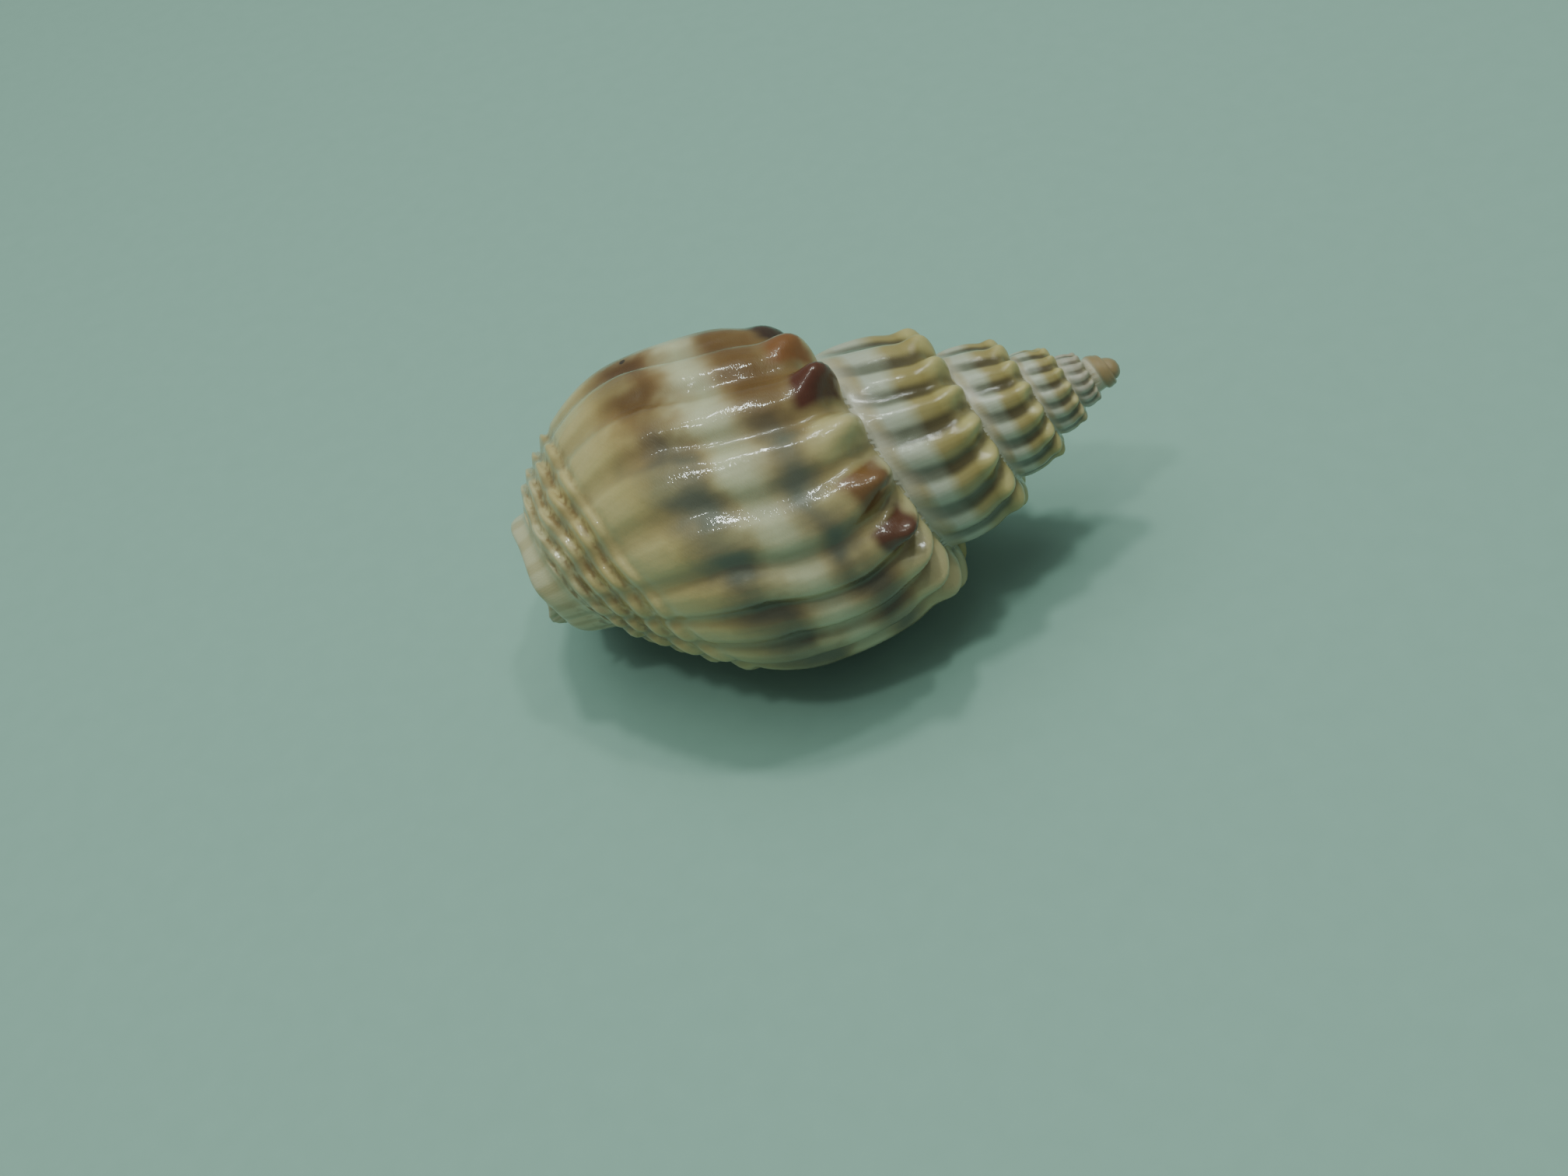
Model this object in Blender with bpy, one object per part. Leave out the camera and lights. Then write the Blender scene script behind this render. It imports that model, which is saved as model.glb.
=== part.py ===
"""Nassarius castus sea shell, lying on its opening.

Metres, +Z up, the apex towards +X, the outer lip towards +Y. The shell grew as one piece, so it is
one solid: a coiled, ribbed outer surface, a thick lip, and a hollow that winds back from the mouth.
Working sizes are millimetres. g counts turns of growth: 0 where the last suture meets the skyline,
rising towards the lip. h is the distance from the apex along the axis and r the distance from it.
"""
import math

import bmesh
import bpy
from mathutils import Matrix, Vector

MM = 0.001
OBJECT_NAME = "nassarius_castus_shell"

# Growth: the spiral widens and lengthens by these powers of e over one turn
WIDENING = 0.452
LENGTHENING = 0.497
FIRST_TURN = -5.5
LIP_TURN = 0.30
STEPS_PER_TURN = 72
LIP_CLOSING = 0.8        # how fast the last part of the whorl stops widening
ROW_CLOSING = (0.0, 0.5, 1.0, 1.0, 1.0, 1.0)   # share of that closing each row takes; the suture none
TIP_SHARE = 0.35         # height of the very tip against the start of the strip

# Outline of one whorl where g = 0, as (r, h), from its suture to its widest line
WHORL_OUTLINE = ((5.00, 10.75), (5.75, 10.62), (6.55, 11.00), (7.20, 12.30), (7.65, 14.30), (7.85, 16.30))
RIB_STRENGTH = (0.10, 0.70, 1.00, 0.62, 0.50, 0.48)
RIB_DEPTH = 0.62         # groove between two ribs, at the shoulder
NODULE_REACH = 0.42      # how far a rib's knob stands towards the apex
KNOB_ROWS = 3            # rows from the suture that take part in the knob
SMOOTH_UNTIL = -4.4      # turn where the ribs start
RIBS_GROW_OVER = 0.5

# Ribs, as (turn, rib number), counted from the darkest knob of the last whorl
RIB_STATIONS = ((-6.0, -86.0), (-1.364, -19.0), (-0.916, -12.0), (-0.373, -3.0), (-0.229, 0.0), (0.4, 11.0))

# Base of the last whorl, from its widest line to the front end
WIDEST_RADIUS = 7.86
WIDEST_LINE = 17.67
FRONT_END = 25.8
BASE_ROWS = 15
BASE_FULLNESS = 1.12     # power of the base curve where g = 0; lower is rounder
FULLNESS_GAIN = 2.3      # how fast the base rounds out towards the lip
LEAST_POWER = 0.6
BASE_RIB_FADE = 0.50     # where along the base the ribs have faded out
CORD_ROWS = (4, 11)      # base rows that carry the spiral cords
CORD_HEIGHT = 0.20
FRONT_TIP_OUT = 0.35     # the closed middle of the front end stands past its rim
PILLAR_RADIUS = 1.0      # of the front end on its inner side
FRONT_OPENS_AT = -0.25   # turn from which the front end widens towards the lip
FRONT_OPENING = (4.6, -1.6)   # its gain in radius, per turn and per turn squared

# Mouth and hollow
WALL = 0.70              # thickness of the shell round the hollow
FRONT_WALL = 1.60        # from the front of the hollow to the front end
LEAST_WIDTH = 1.60       # the hollow ends where it would be narrower than this
HOLLOW_STEPS = 48
HOLLOW_STRIDE = 3
HOLLOW_TAPER = 12        # steps over which the inner end closes
HOLLOW_END_SHARE = 0.30  # size of the inner end against the full hollow
SHOULDER_WALL = 1.05     # from the hollow's shoulder to the whorl before it
FRONT_SEARCH = 0.10      # step in which the front of the hollow is moved back
SIDE_POWER = 0.3         # bluntness of the hollow's two ends
LEAST_STEP = 0.20        # between two rows of the hollow, under the shoulder
ROUND_END = 0.98         # where the rounded front of the hollow is cut off

# Turn about the axis, then lean of the axis, with which the shell lies on its lip and its last whorl
REST_ROLL = math.radians(-17.7)
REST_LEAN = math.radians(7.4)

SHELL_COLOUR = (0.74, 0.66, 0.50, 1.0)
SHELL_ROUGHNESS = 0.28
SHARP_ANGLE = math.radians(50)


def widen(g, closing=1.0):
    """Growth of the radii since g = 0. Near the lip all but the suture stops widening."""
    return math.exp(WIDENING * (g - closing * LIP_CLOSING * max(0.0, g) ** 2))


def lengthen(g):
    """Growth of the distances along the axis since g = 0."""
    return math.exp(LENGTHENING * g)


def rib_number(g):
    """Number of ribs grown up to turn g, read between the stations."""
    for (g0, n0), (g1, n1) in zip(RIB_STATIONS, RIB_STATIONS[1:]):
        if g <= g1:
            break
    return n0 + (n1 - n0) * (g - g0) / (g1 - g0)


def groove(g):
    """0 on the crest of a rib and 1 in the bottom of the groove beside it. The first turns are smooth."""
    started = min(1.0, max(0.0, (g - SMOOTH_UNTIL) / RIBS_GROW_OVER))
    return started * (0.5 - 0.5 * math.cos(2.0 * math.pi * rib_number(g)))


def front_radius(g):
    """Radius of the front end: a thin pillar on the inner side that opens out towards the lip."""
    opening = max(0.0, g - FRONT_OPENS_AT)
    return PILLAR_RADIUS + FRONT_OPENING[0] * opening + FRONT_OPENING[1] * opening ** 2


def whorl_point(g, row, carved=True):
    """Point (r, h) on one of the rows between the suture and the widest line."""
    radius, height = WHORL_OUTLINE[row]
    if carved:
        depth = RIB_STRENGTH[row] * groove(g)
        radius -= RIB_DEPTH * depth
        if row < KNOB_ROWS:
            height += NODULE_REACH * depth
    return radius * widen(g, ROW_CLOSING[row]), height * lengthen(g)


def base_point(g, row, carved=True):
    """Point (r, h) on one of the rows between the widest line and the front end."""
    along = math.sin(0.5 * math.pi * row / (BASE_ROWS - 1))
    start = WIDEST_LINE * lengthen(g)
    power = max(LEAST_POWER, BASE_FULLNESS - FULLNESS_GAIN * g)
    end_radius = front_radius(g)
    radius = end_radius + (WIDEST_RADIUS * widen(g) - end_radius) * max(0.0, 1.0 - along ** 2) ** power
    if carved:
        fade = max(0.0, 1.0 - along / BASE_RIB_FADE)
        radius -= RIB_DEPTH * RIB_STRENGTH[-1] * groove(g) * fade * widen(g)
        if CORD_ROWS[0] <= row <= CORD_ROWS[1]:
            radius += CORD_HEIGHT * (0.5 if row % 2 else -0.5)
    return radius, start + (FRONT_END - start) * along


def in_space(g, point):
    """Place a point (r, h) of turn g in the shell's own frame: apex at the origin, axis along X."""
    radius, height = point
    angle = -2.0 * math.pi * g
    return Vector((-height, -radius * math.sin(angle), radius * math.cos(angle)))


def build_outside(bm):
    """Lay the ribbed surface as one coiled strip and sew each turn to the one before it."""
    spire_rows = len(WHORL_OUTLINE)
    last = round((LIP_TURN - FIRST_TURN) * STEPS_PER_TURN)
    body_start = last - STEPS_PER_TURN
    grid = []
    for step in range(last + 1):
        g = LIP_TURN + (step - last) / STEPS_PER_TURN
        column = [bm.verts.new(in_space(g, whorl_point(g, row))) for row in range(spire_rows)]
        if step >= body_start:
            column += [bm.verts.new(in_space(g, base_point(g, row))) for row in range(BASE_ROWS)]
        grid.append(column)
    for index, column in enumerate(grid[:body_start]):
        column.append(grid[index + STEPS_PER_TURN][0])
    # The column under the lip meets the lip where its suture ends
    bm.verts.remove(grid[body_start][spire_rows])
    grid[body_start][spire_rows] = grid[-1][0]
    for here, there in zip(grid, grid[1:]):
        rows = min(len(here), len(there))
        for row in range(rows - 1):
            quad = (here[row], here[row + 1], there[row + 1], there[row])
            bm.faces.new(quad)
    return grid, body_start


def close_apex(bm, grid):
    """Close the tip with a fan over the first turn of the suture, and the start of the strip."""
    tip_height = WHORL_OUTLINE[0][1] * lengthen(FIRST_TURN) * TIP_SHARE
    tip = bm.verts.new((-tip_height, 0.0, 0.0))
    ring = [column[0] for column in grid[:STEPS_PER_TURN + 1]]
    for here, there in zip(ring, ring[1:] + ring[:1]):
        bm.faces.new((tip, here, there))
    bm.faces.new(grid[0])


def radius_at(outline, height):
    """Radius of an outline of (r, h) points where it passes a height."""
    for (r0, h0), (r1, h1) in zip(outline, outline[1:]):
        if h0 <= height <= h1:
            return r0 + (r1 - r0) * (height - h0) / (h1 - h0)
    return outline[-1][0]


def hollow_loop(step_back):
    """Outline (r, h) of the hollow a number of steps behind the lip, kept a wall inside the whorl."""
    g = LIP_TURN - step_back / STEPS_PER_TURN
    base_rows = range(BASE_ROWS)
    outer = [whorl_point(g, row, False) for row in range(1, len(WHORL_OUTLINE))]
    outer += [base_point(g, row, False) for row in base_rows]
    inner = [base_point(g - 1.0, row, False) for row in base_rows]
    steps_left = (HOLLOW_STEPS - step_back) / HOLLOW_TAPER
    taper = min(1.0, HOLLOW_END_SHARE + (1.0 - HOLLOW_END_SHARE) * steps_left)

    def sides(height):
        low = max(radius_at(inner, height - WALL), radius_at(inner, height + WALL))
        high = min(radius_at(outer, height - WALL), radius_at(outer, height + WALL))
        return 0.5 * (low + high), 0.5 * (high - low) - WALL

    top = inner[0][1] + SHOULDER_WALL
    front = FRONT_END - FRONT_WALL
    while front > top + LEAST_WIDTH and 2.0 * sides(front)[1] < LEAST_WIDTH:
        front -= FRONT_SEARCH
    middle_h, half_h = 0.5 * (top + front), 0.5 * (front - top) * taper
    rows = [(whorl_point(g, 0, False)[1], 1.0)]
    for radius, height in outer:
        last_height = rows[-1][0]
        rows.append((height if height > last_height else last_height + LEAST_STEP, 1.0))
    rows += [(height, -1.0) for radius, height in reversed(inner[1:])]
    loop = []
    for row_height, side in rows:
        place = 2.0 * (row_height - rows[0][0]) / (FRONT_END - rows[0][0]) - 1.0
        place = max(-1.0, place) if place < 0.0 else ROUND_END * place
        height = middle_h + half_h * place
        middle_r, half_r = sides(height)
        width = max(0.0, half_r) * taper * (1.0 - place ** 2) ** SIDE_POWER
        loop.append((middle_r + side * width, height))
    return g, loop, (sides(middle_h)[0], middle_h)


def build_mouth(bm, grid, start_index):
    """Close the front end, and line the mouth with the lip and the hollow."""
    inner = grid[start_index]
    outer = grid[-1]
    spire_rows = len(WHORL_OUTLINE)
    front_tip = bm.verts.new((-(FRONT_END + FRONT_TIP_OUT), 0.0, 0.0))
    rim = [column[-1] for column in grid[start_index:]]
    for here, there in zip(rim, rim[1:] + rim[:1]):
        bm.faces.new((front_tip, here, there))
    ring = list(outer) + list(reversed(inner[spire_rows + 1:]))
    for step_back in range(0, HOLLOW_STEPS + 1, HOLLOW_STRIDE):
        g, loop, centre = hollow_loop(step_back)
        new_ring = [bm.verts.new(in_space(g, point)) for point in loop]
        bridge(bm, ring, new_ring)
        ring = new_ring
    end = bm.verts.new(in_space(g - HOLLOW_STRIDE / STEPS_PER_TURN, centre))
    for here, there in zip(ring, ring[1:] + ring[:1]):
        bm.faces.new((end, here, there))


def bridge(bm, ring, new_ring):
    """Join two closed rings of equal length with a band of faces."""
    count = len(ring)
    for index in range(count):
        following = (index + 1) % count
        bm.faces.new((ring[index], ring[following], new_ring[following], new_ring[index]))


def lay_down(bm):
    """Turn the shell onto its resting side and put the middle of its footprint at the origin."""
    rest = Matrix.Rotation(-REST_LEAN, 4, "Y") @ Matrix.Rotation(REST_ROLL, 4, "X")
    bmesh.ops.transform(bm, matrix=Matrix.Scale(MM, 4) @ rest, verts=bm.verts)
    lows = [min(v.co[axis] for v in bm.verts) for axis in range(3)]
    highs = [max(v.co[axis] for v in bm.verts) for axis in range(3)]
    shift = Vector((-(lows[0] + highs[0]) / 2, -(lows[1] + highs[1]) / 2, -lows[2]))
    bmesh.ops.translate(bm, vec=shift, verts=bm.verts)


def shell_material():
    """Cream-white, glossy shell lime."""
    material = bpy.data.materials.new("shell_lime")
    material.use_nodes = True
    shader = material.node_tree.nodes["Principled BSDF"]
    shader.inputs["Base Color"].default_value = SHELL_COLOUR
    shader.inputs["Roughness"].default_value = SHELL_ROUGHNESS
    shader.inputs["Metallic"].default_value = 0.0
    return material


def make_shell():
    """Build the whole shell as one closed solid, in metres and in its resting pose."""
    bm = bmesh.new()
    grid, start_index = build_outside(bm)
    close_apex(bm, grid)
    build_mouth(bm, grid, start_index)
    bmesh.ops.recalc_face_normals(bm, faces=bm.faces)
    bmesh.ops.triangulate(bm, faces=bm.faces)
    lay_down(bm)
    mesh = bpy.data.meshes.new("shell")
    bm.to_mesh(mesh)
    bm.free()
    mesh.materials.append(shell_material())
    mesh.shade_smooth()
    mesh.set_sharp_from_angle(angle=SHARP_ANGLE)
    return bpy.data.objects.new("shell", mesh)


def main():
    """Empty the file of objects and put the shell in its collection."""
    for old in list(bpy.data.objects):
        bpy.data.objects.remove(old, do_unlink=True)
    collection = bpy.data.collections.new(OBJECT_NAME)
    bpy.context.scene.collection.children.link(collection)
    collection.objects.link(make_shell())


main()
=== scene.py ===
"""Nassarius castus sea shell: the ribbed, knobbed outside, the mouth with its callus, and a plain stage."""
import math
from collections import namedtuple

import bmesh
import bpy
from bpy.props import FloatProperty, FloatVectorProperty, PointerProperty
from mathutils import Matrix, Vector, noise


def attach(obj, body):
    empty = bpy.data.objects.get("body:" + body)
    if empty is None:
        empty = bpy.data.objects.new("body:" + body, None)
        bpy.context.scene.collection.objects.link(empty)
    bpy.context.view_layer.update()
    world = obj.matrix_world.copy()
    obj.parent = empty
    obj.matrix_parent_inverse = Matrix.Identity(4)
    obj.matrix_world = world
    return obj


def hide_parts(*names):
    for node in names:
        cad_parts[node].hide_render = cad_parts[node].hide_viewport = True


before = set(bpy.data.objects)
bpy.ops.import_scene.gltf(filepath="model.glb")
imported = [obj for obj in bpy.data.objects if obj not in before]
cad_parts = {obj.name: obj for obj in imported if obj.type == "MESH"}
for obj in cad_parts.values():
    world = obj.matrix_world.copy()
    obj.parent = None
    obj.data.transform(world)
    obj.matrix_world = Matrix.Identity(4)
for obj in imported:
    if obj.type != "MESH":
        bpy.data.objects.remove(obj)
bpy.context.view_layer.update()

bl_info = {
    "name": "Sea Shell Grower",
    "version": (1, 0, 0),
    "blender": (4, 5, 0),
    "location": "View3D > Sidebar > Sea Shell",
    "description": "Grows a knobbed, ribbed sea shell turn by turn and sets it on a plain stage",
    "category": "Add Mesh",
}

MM = 0.001

# How the finished shell lies: its apex in millimetres, and the lean and roll of its axis in degrees
APEX = Vector((13.0873, -0.7827, 7.8759))
REST_LEAN = 7.4
REST_ROLL = -17.7

# The camera: frame width and focal length in pixels of the photo, sensor width in millimetres,
# place in metres and turn in degrees
PHOTO_WIDTH = 2016
CAMERA_FOCAL_PIXELS = 2041.0
SENSOR_WIDTH = 36.0
CAMERA_PLACE = (-0.000334, -0.045910, 0.051432)
CAMERA_TURN = (40.40, 12.99, -12.28)

# Lights as (name, place and width in metres, share of the power of its kind)
KEY_LIGHTS = (("key_light", (0.005, 0.045, 0.24), 0.020, 1.0),
              ("second_light", (0.07, 0.02, 0.23), 0.016, 0.6),
              ("third_light", (-0.06, -0.05, 0.21), 0.016, 0.5))
FILL_LIGHTS = (("overhead_light", (-0.06, 0.06, 0.40), 0.40, 1.0),)
LIGHT_COLOUR = "#E9F5EE"
AIR_COLOUR = "#DCE6E3"
AIR_STRENGTH = 0.30

# Growth of the coil, in turns g: 0 where the last suture meets the skyline, rising to the lip.
# h is the distance from the apex along the axis and r the distance from the axis, in millimetres.
# A place t across a whorl is 0 at its suture, 1 at the widest line and 2 at the front end.
WIDENING = 0.452
LENGTHENING = 0.497
LIP_TURN = 0.30
PILLAR_TURN = LIP_TURN - 1.0
LIP_CLOSING = 0.8
SMOOTH_UNTIL = -4.9
WIDEST_RADIUS = 7.86
WIDEST_LINE = 17.67
FRONT_END = 25.8

# Steps of the mesh along the coil, and rows across a whorl before and after the widest line
STEPS_PER_TURN = 288
SPIRE_STEPS = 1392
WHORL_ROWS = 30
BASE_ROWS = 84
TIP_RINGS = 8
HOLLOW_RINGS = 70
FRONT_RINGS = 10
MERGE_DISTANCE = 0.0008
# How the rows of the base are shared out, as (share of the rows, place t): closest where the cords are
BASE_SPACING = ((0.0, 1.0), (0.10, 1.15), (0.88, 1.75), (1.0, 2.0))

# Section of one whorl where g = 0, as (place t, r, h)
WHORL_SECTION = ((0.0, 5.00, 10.75), (0.09, 5.75, 10.62), (0.20, 6.55, 11.00), (0.40, 7.20, 12.30),
                 (0.62, 7.65, 14.30), (0.84, 7.85, 16.30), (1.0, 7.86, 17.67))
# How strongly ribs stand out along that section, and how far each place shares in the closing of the lip
RIB_STRENGTH = ((0.0, 0.10), (0.09, 0.70), (0.20, 1.00), (0.40, 0.62), (0.62, 0.50), (1.0, 0.48))
CLOSING_SHARE = ((0.0, 0.0), (0.09, 0.5), (0.20, 1.0), (2.0, 1.0))
# How far the shoulder of the last quarter turn slips in and towards the front
LAST_SLIP = (0.20, 0.60)
# The base runs in to the front edge more fully the nearer it is to the lip
BASE_FULLNESS = 1.12
BASE_FULLNESS_LOSS = 2.8
BASE_FULLNESS_LEAST = 0.6
# Radius of the front edge, which opens from a quarter turn before g = 0
FRONT_RADIUS = 0.55
FRONT_OPENING = (5.6, 2.0)
FRONT_OPENS_AT = 0.25
# How far the front edge is cut back all round, and on the back, where the siphon came out
FRONT_CUT = 0.8
NOTCH_DEPTH = 1.15

# Ribs as (turn, rib number), counted from the darkest knob of the last whorl
RIB_STATIONS = ((-6.0, -86.0), (-1.364, -19.0), (-1.291, -18.0), (-1.223, -17.0), (-1.163, -16.0),
                (-1.102, -15.0), (-1.045, -14.0), (-0.982, -13.0), (-0.916, -12.0), (-0.373, -3.0),
                (-0.318, -2.0), (-0.272, -1.0), (-0.229, 0.0), (-0.175, 1.0), (-0.115, 2.0), (-0.06, 3.0),
                (0.0, 4.0), (0.06, 5.0), (0.4, 11.0))
# Turns by which a rib bows forward, falls back over the base and runs ahead below its shoulder,
# and the share of a rib's width by which it wavers
RIB_BOW = 0.012
RIB_LAG = 0.03
RIB_LEAD = 0.010
RIB_WAVER = 0.10
GROOVE_NARROWING = 0.9
SHOULDER_LIFT = 0.42
BASE_RIB_STRENGTH = 0.48
BASE_RIBS_END = 0.78
# Knobs: how much each rib's own stands out, by rib number, and how deep the waist below them is
KNOB_GAIN = {0: 2.1, 1: 1.2, 2: 0.8, 3: 1.7, 4: 0.7, 5: 0.1, 6: 0.4, 7: 0.5}
OTHER_KNOB_GAIN = 0.75
KNOB_OVERHANG = 0.30
WAIST_DEPTH = 0.16

# Cords and fasciole of the base, on a place c that drifts against t along the coil
CORD_SLANT = 0.35
CORD_WAVER = 0.022
CORDS = (1.20, 1.53)
CORD_SPACING = 0.066
# Ridges and furrows of the fasciole, as (place c, half width, height in millimetres)
FASCIOLE_RIDGES = ((1.63, 0.06, 0.44), (1.80, 0.06, 0.44))
FASCIOLE_FURROWS = ((1.54, 0.04, 0.22), (1.72, 0.04, 0.20))
FASCIOLE_UNEVENNESS = 0.9

# The callus beside the mouth: the turns that it covers from the pillar on, how many more it covers
# towards the front, the width of its edge in turns, and how deep it lies in millimetres
CALLUS_WIDTH = 0.10
CALLUS_SPREAD = 0.16
CALLUS_EDGE = 0.05
CALLUS_SINK = 0.10

# The very tip and the walls, in millimetres
TIP_RISE = 0.32
TIP_DOME = 0.26
WALL = 0.8
WALL_AT_LIP = 1.0
FRONT_WALL = 1.2
# How far behind the front end the rings that close it meet
FRONT_MIDDLE_DEPTH = 2.4

# The hollow: its first rings and then its step, in turns behind the lip, where the rolled and the thick
# part of the lip end, and the least length and width in millimetres that its front end keeps
LIP_ROLL = (0.004, 0.009, 0.016)
LIP_ROLL_END = 0.022
LIP_THICK_END = 0.05
HOLLOW_START = 0.024
HOLLOW_STEP = 0.012
HOLLOW_LENGTH = 2.0
HOLLOW_WIDTH = 0.9
HOLLOW_ROUNDNESS = 0.32

# What each point of the surface knows about its place: growth, suture to front end, rib and cord it is on,
# milky glaze, and lining of the mouth
PLACE_NAMES = ("turns", "across", "rib", "groove", "cord", "glaze", "lining")

# Sizes of the clouds, frays and ripples in the shell, the spacing of its specks, and the paper's tooth,
# in millimetres
CLOUD_SIZE = 2.0833
FRAY_SIZE = 0.4
RIPPLE_SIZE = 0.7692
SPECK_SPACING = 4.348
PAPER_TOOTH = 1.111

# Tones from suture to front end, as (half of place t, colour)
SPIRE_CREST = ((0.0, "#C4B876"), (0.14, "#CBBE76"), (0.20, "#A8964E"), (0.28, "#AC9C5E"), (0.34, "#C4C8AC"),
               (0.41, "#C2C8B2"), (0.45, "#A08C4E"), (0.50, "#927C44"))
# Groove tones: the bands' own tones with painted shade, much darker where the grooves fall in shadow
SPIRE_GROOVE_SHADED = ((0.0, "#7E7340"), (0.14, "#847844"), (0.20, "#564A26"), (0.29, "#483D1E"), (0.34, "#6A6C56"),
                (0.41, "#6E725E"), (0.45, "#524424"), (0.50, "#463A1E"))
LAST_CREST = ((0.0, "#C4BB86"), (0.09, "#CFC48A"), (0.20, "#C6B67A"), (0.30, "#BDAA70"), (0.36, "#D2D2A8"),
              (0.42, "#D4D2A4"), (0.47, "#CDBE80"), (0.56, "#D6C67C"), (0.61, "#D4C482"), (0.68, "#C4B06C"),
              (0.77, "#CCC594"), (0.85, "#D2CFA8"), (1.0, "#D4D1B2"))
# Groove tones of the last whorl: its bands with painted shade in the grooves
LAST_GROOVE_SHADED = ((0.0, "#8E8048"), (0.15, "#948048"), (0.25, "#8A7A4C"), (0.36, "#A3A27C"), (0.42, "#AAA67C"),
               (0.50, "#978450"), (0.60, "#B09E62"), (0.70, "#97804A"), (0.78, "#B8AC78"), (1.0, "#C8C29C"))
LINING = ((0.0, "#C9A878"), (0.18, "#B08252"), (0.26, "#4E3A28"), (0.32, "#B07E4C"), (0.42, "#AC7A48"),
          (0.49, "#46331F"), (0.56, "#A87A4A"), (0.72, "#C8AC7C"), (1.0, "#D8CCA8"))
# Tones of the stains from half a turn before g = 0 to just past the lip, at their edges and in their middles
STAIN_EDGE = ((0.0, "#A38A50"), (0.40, "#A88A4E"), (0.50, "#966420"), (0.62, "#885418"), (0.80, "#A8824A"),
              (1.0, "#A0743C"))
STAIN_CORE = ((0.0, "#6E6E58"), (0.18, "#68634A"), (0.27, "#5A5844"), (0.34, "#6A6F60"), (0.42, "#6E7160"),
              (0.50, "#6E4C14"), (0.60, "#5E3C12"), (0.80, "#6E5A3A"), (1.0, "#6A4A2A"))
# The two rows of stains, as places t where they start, are full, fade and end
STAIN_ROWS = ((0.40, 0.54, 0.60, 0.75), (0.82, 0.96, 1.03, 1.21))
# Tones of the knobs: cream before the first dark one, then one for each rib from there
EARLY_KNOBS = "#C9BC84"
KNOB_TONES = ("#571C00", "#7A4C14", "#CFC080", "#5A1A00", "#8A5210", "#3E2416", "#C9A766", "#7A3A1A",
              "#D0BC86", "#A2682C")
RIBS_BEFORE_KNOBS = 6

Relief = namedtuple("Relief", "rib knob cord")
Relief.__doc__ = "Depth of the ribs, and height of the knobs and cords, in millimetres."


def between(table, x):
    """Read a table of (x, value) pairs with straight lines between them."""
    if x <= table[0][0]:
        return table[0][1]
    for (x0, y0), (x1, y1) in zip(table, table[1:]):
        if x <= x1:
            return y0 + (y1 - y0) * (x - x0) / (x1 - x0)
    return table[-1][1]


def curve_through(table, x, column):
    """Read a column of a table with a smooth curve through its points."""
    last = len(table) - 1
    k = 0
    while k < last - 1 and x > table[k + 1][0]:
        k += 1
    x0, x1 = table[k][0], table[k + 1][0]
    y0, y1 = table[k][column], table[k + 1][column]
    before, after = max(0, k - 1), min(last, k + 2)
    slope0 = (y1 - table[before][column]) / (x1 - table[before][0])
    slope1 = (table[after][column] - y0) / (table[after][0] - x0)
    f = (x - x0) / (x1 - x0)
    span = x1 - x0
    return ((2 * f ** 3 - 3 * f ** 2 + 1) * y0 + (f ** 3 - 2 * f ** 2 + f) * span * slope0
            + (3 * f ** 2 - 2 * f ** 3) * y1 + (f ** 3 - f ** 2) * span * slope1)


def step_up(low, high, x):
    """0 at low and before, 1 at high and beyond, and a soft ramp between them; high may be below low."""
    f = min(1.0, max(0.0, (x - low) / (high - low)))
    return f * f * (3.0 - 2.0 * f)


def bump(x, middle, width):
    """1 at the middle, falling smoothly to nothing on both sides."""
    return math.exp(-((x - middle) / width) ** 2)


def widen(g, closing=1.0):
    """Size across the axis at turn g; just before the lip the whorl closes in a little."""
    return math.exp(WIDENING * (g - closing * LIP_CLOSING * max(0.0, g) ** 2))


def lengthen(g):
    """Size along the axis at turn g."""
    return math.exp(LENGTHENING * g)


def rib_number(g):
    """Number of ribs grown up to turn g."""
    if g >= RIB_STATIONS[-1][0]:
        (g0, n0), (g1, n1) = RIB_STATIONS[-2:]
        return n0 + (n1 - n0) * (g - g0) / (g1 - g0)
    return between(RIB_STATIONS, g)


def rib_place(g, t):
    """Rib number at a point: the ribs lean, bow and waver a little between suture and base."""
    lean = RIB_BOW * math.sin(math.pi * min(1.0, t)) - RIB_LAG * max(0.0, t - 0.8)
    lean += RIB_LEAD * step_up(0.15, 0.6, t)
    waver = RIB_WAVER * noise.noise(Vector((9.0 * g, 2.2 * t, 0.0))) * step_up(-2.5, -1.0, g)
    return rib_number(g + lean) + waver


def rib_wave(g, t):
    """0 on the crest of a rib and 1 midway between two."""
    started = step_up(SMOOTH_UNTIL, SMOOTH_UNTIL + 0.5, g)
    return started * (0.5 - 0.5 * math.cos(2.0 * math.pi * rib_place(g, t)))


def rib_groove(g, t):
    """How deep a point lies in the groove between two ribs: on the last whorl the grooves are narrow."""
    narrowing = GROOVE_NARROWING * step_up(-1.0, -0.4, g) * step_up(0.15, 0.5, t)
    return rib_wave(g, t) ** (1.0 + narrowing)


def callus(g, t):
    """1 on the smooth, thick glaze that the animal laid beside the mouth."""
    edge = PILLAR_TURN + CALLUS_WIDTH + CALLUS_SPREAD * step_up(1.15, 1.95, t)
    if g >= edge:
        return 0.0
    return step_up(edge, edge - CALLUS_EDGE, g) * step_up(0.75, 1.05, t)


def front_radius(g):
    """Radius of the front edge at turn g."""
    opening = max(0.0, g + FRONT_OPENS_AT)
    return FRONT_RADIUS + FRONT_OPENING[0] * opening - FRONT_OPENING[1] * opening ** 2


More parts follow.
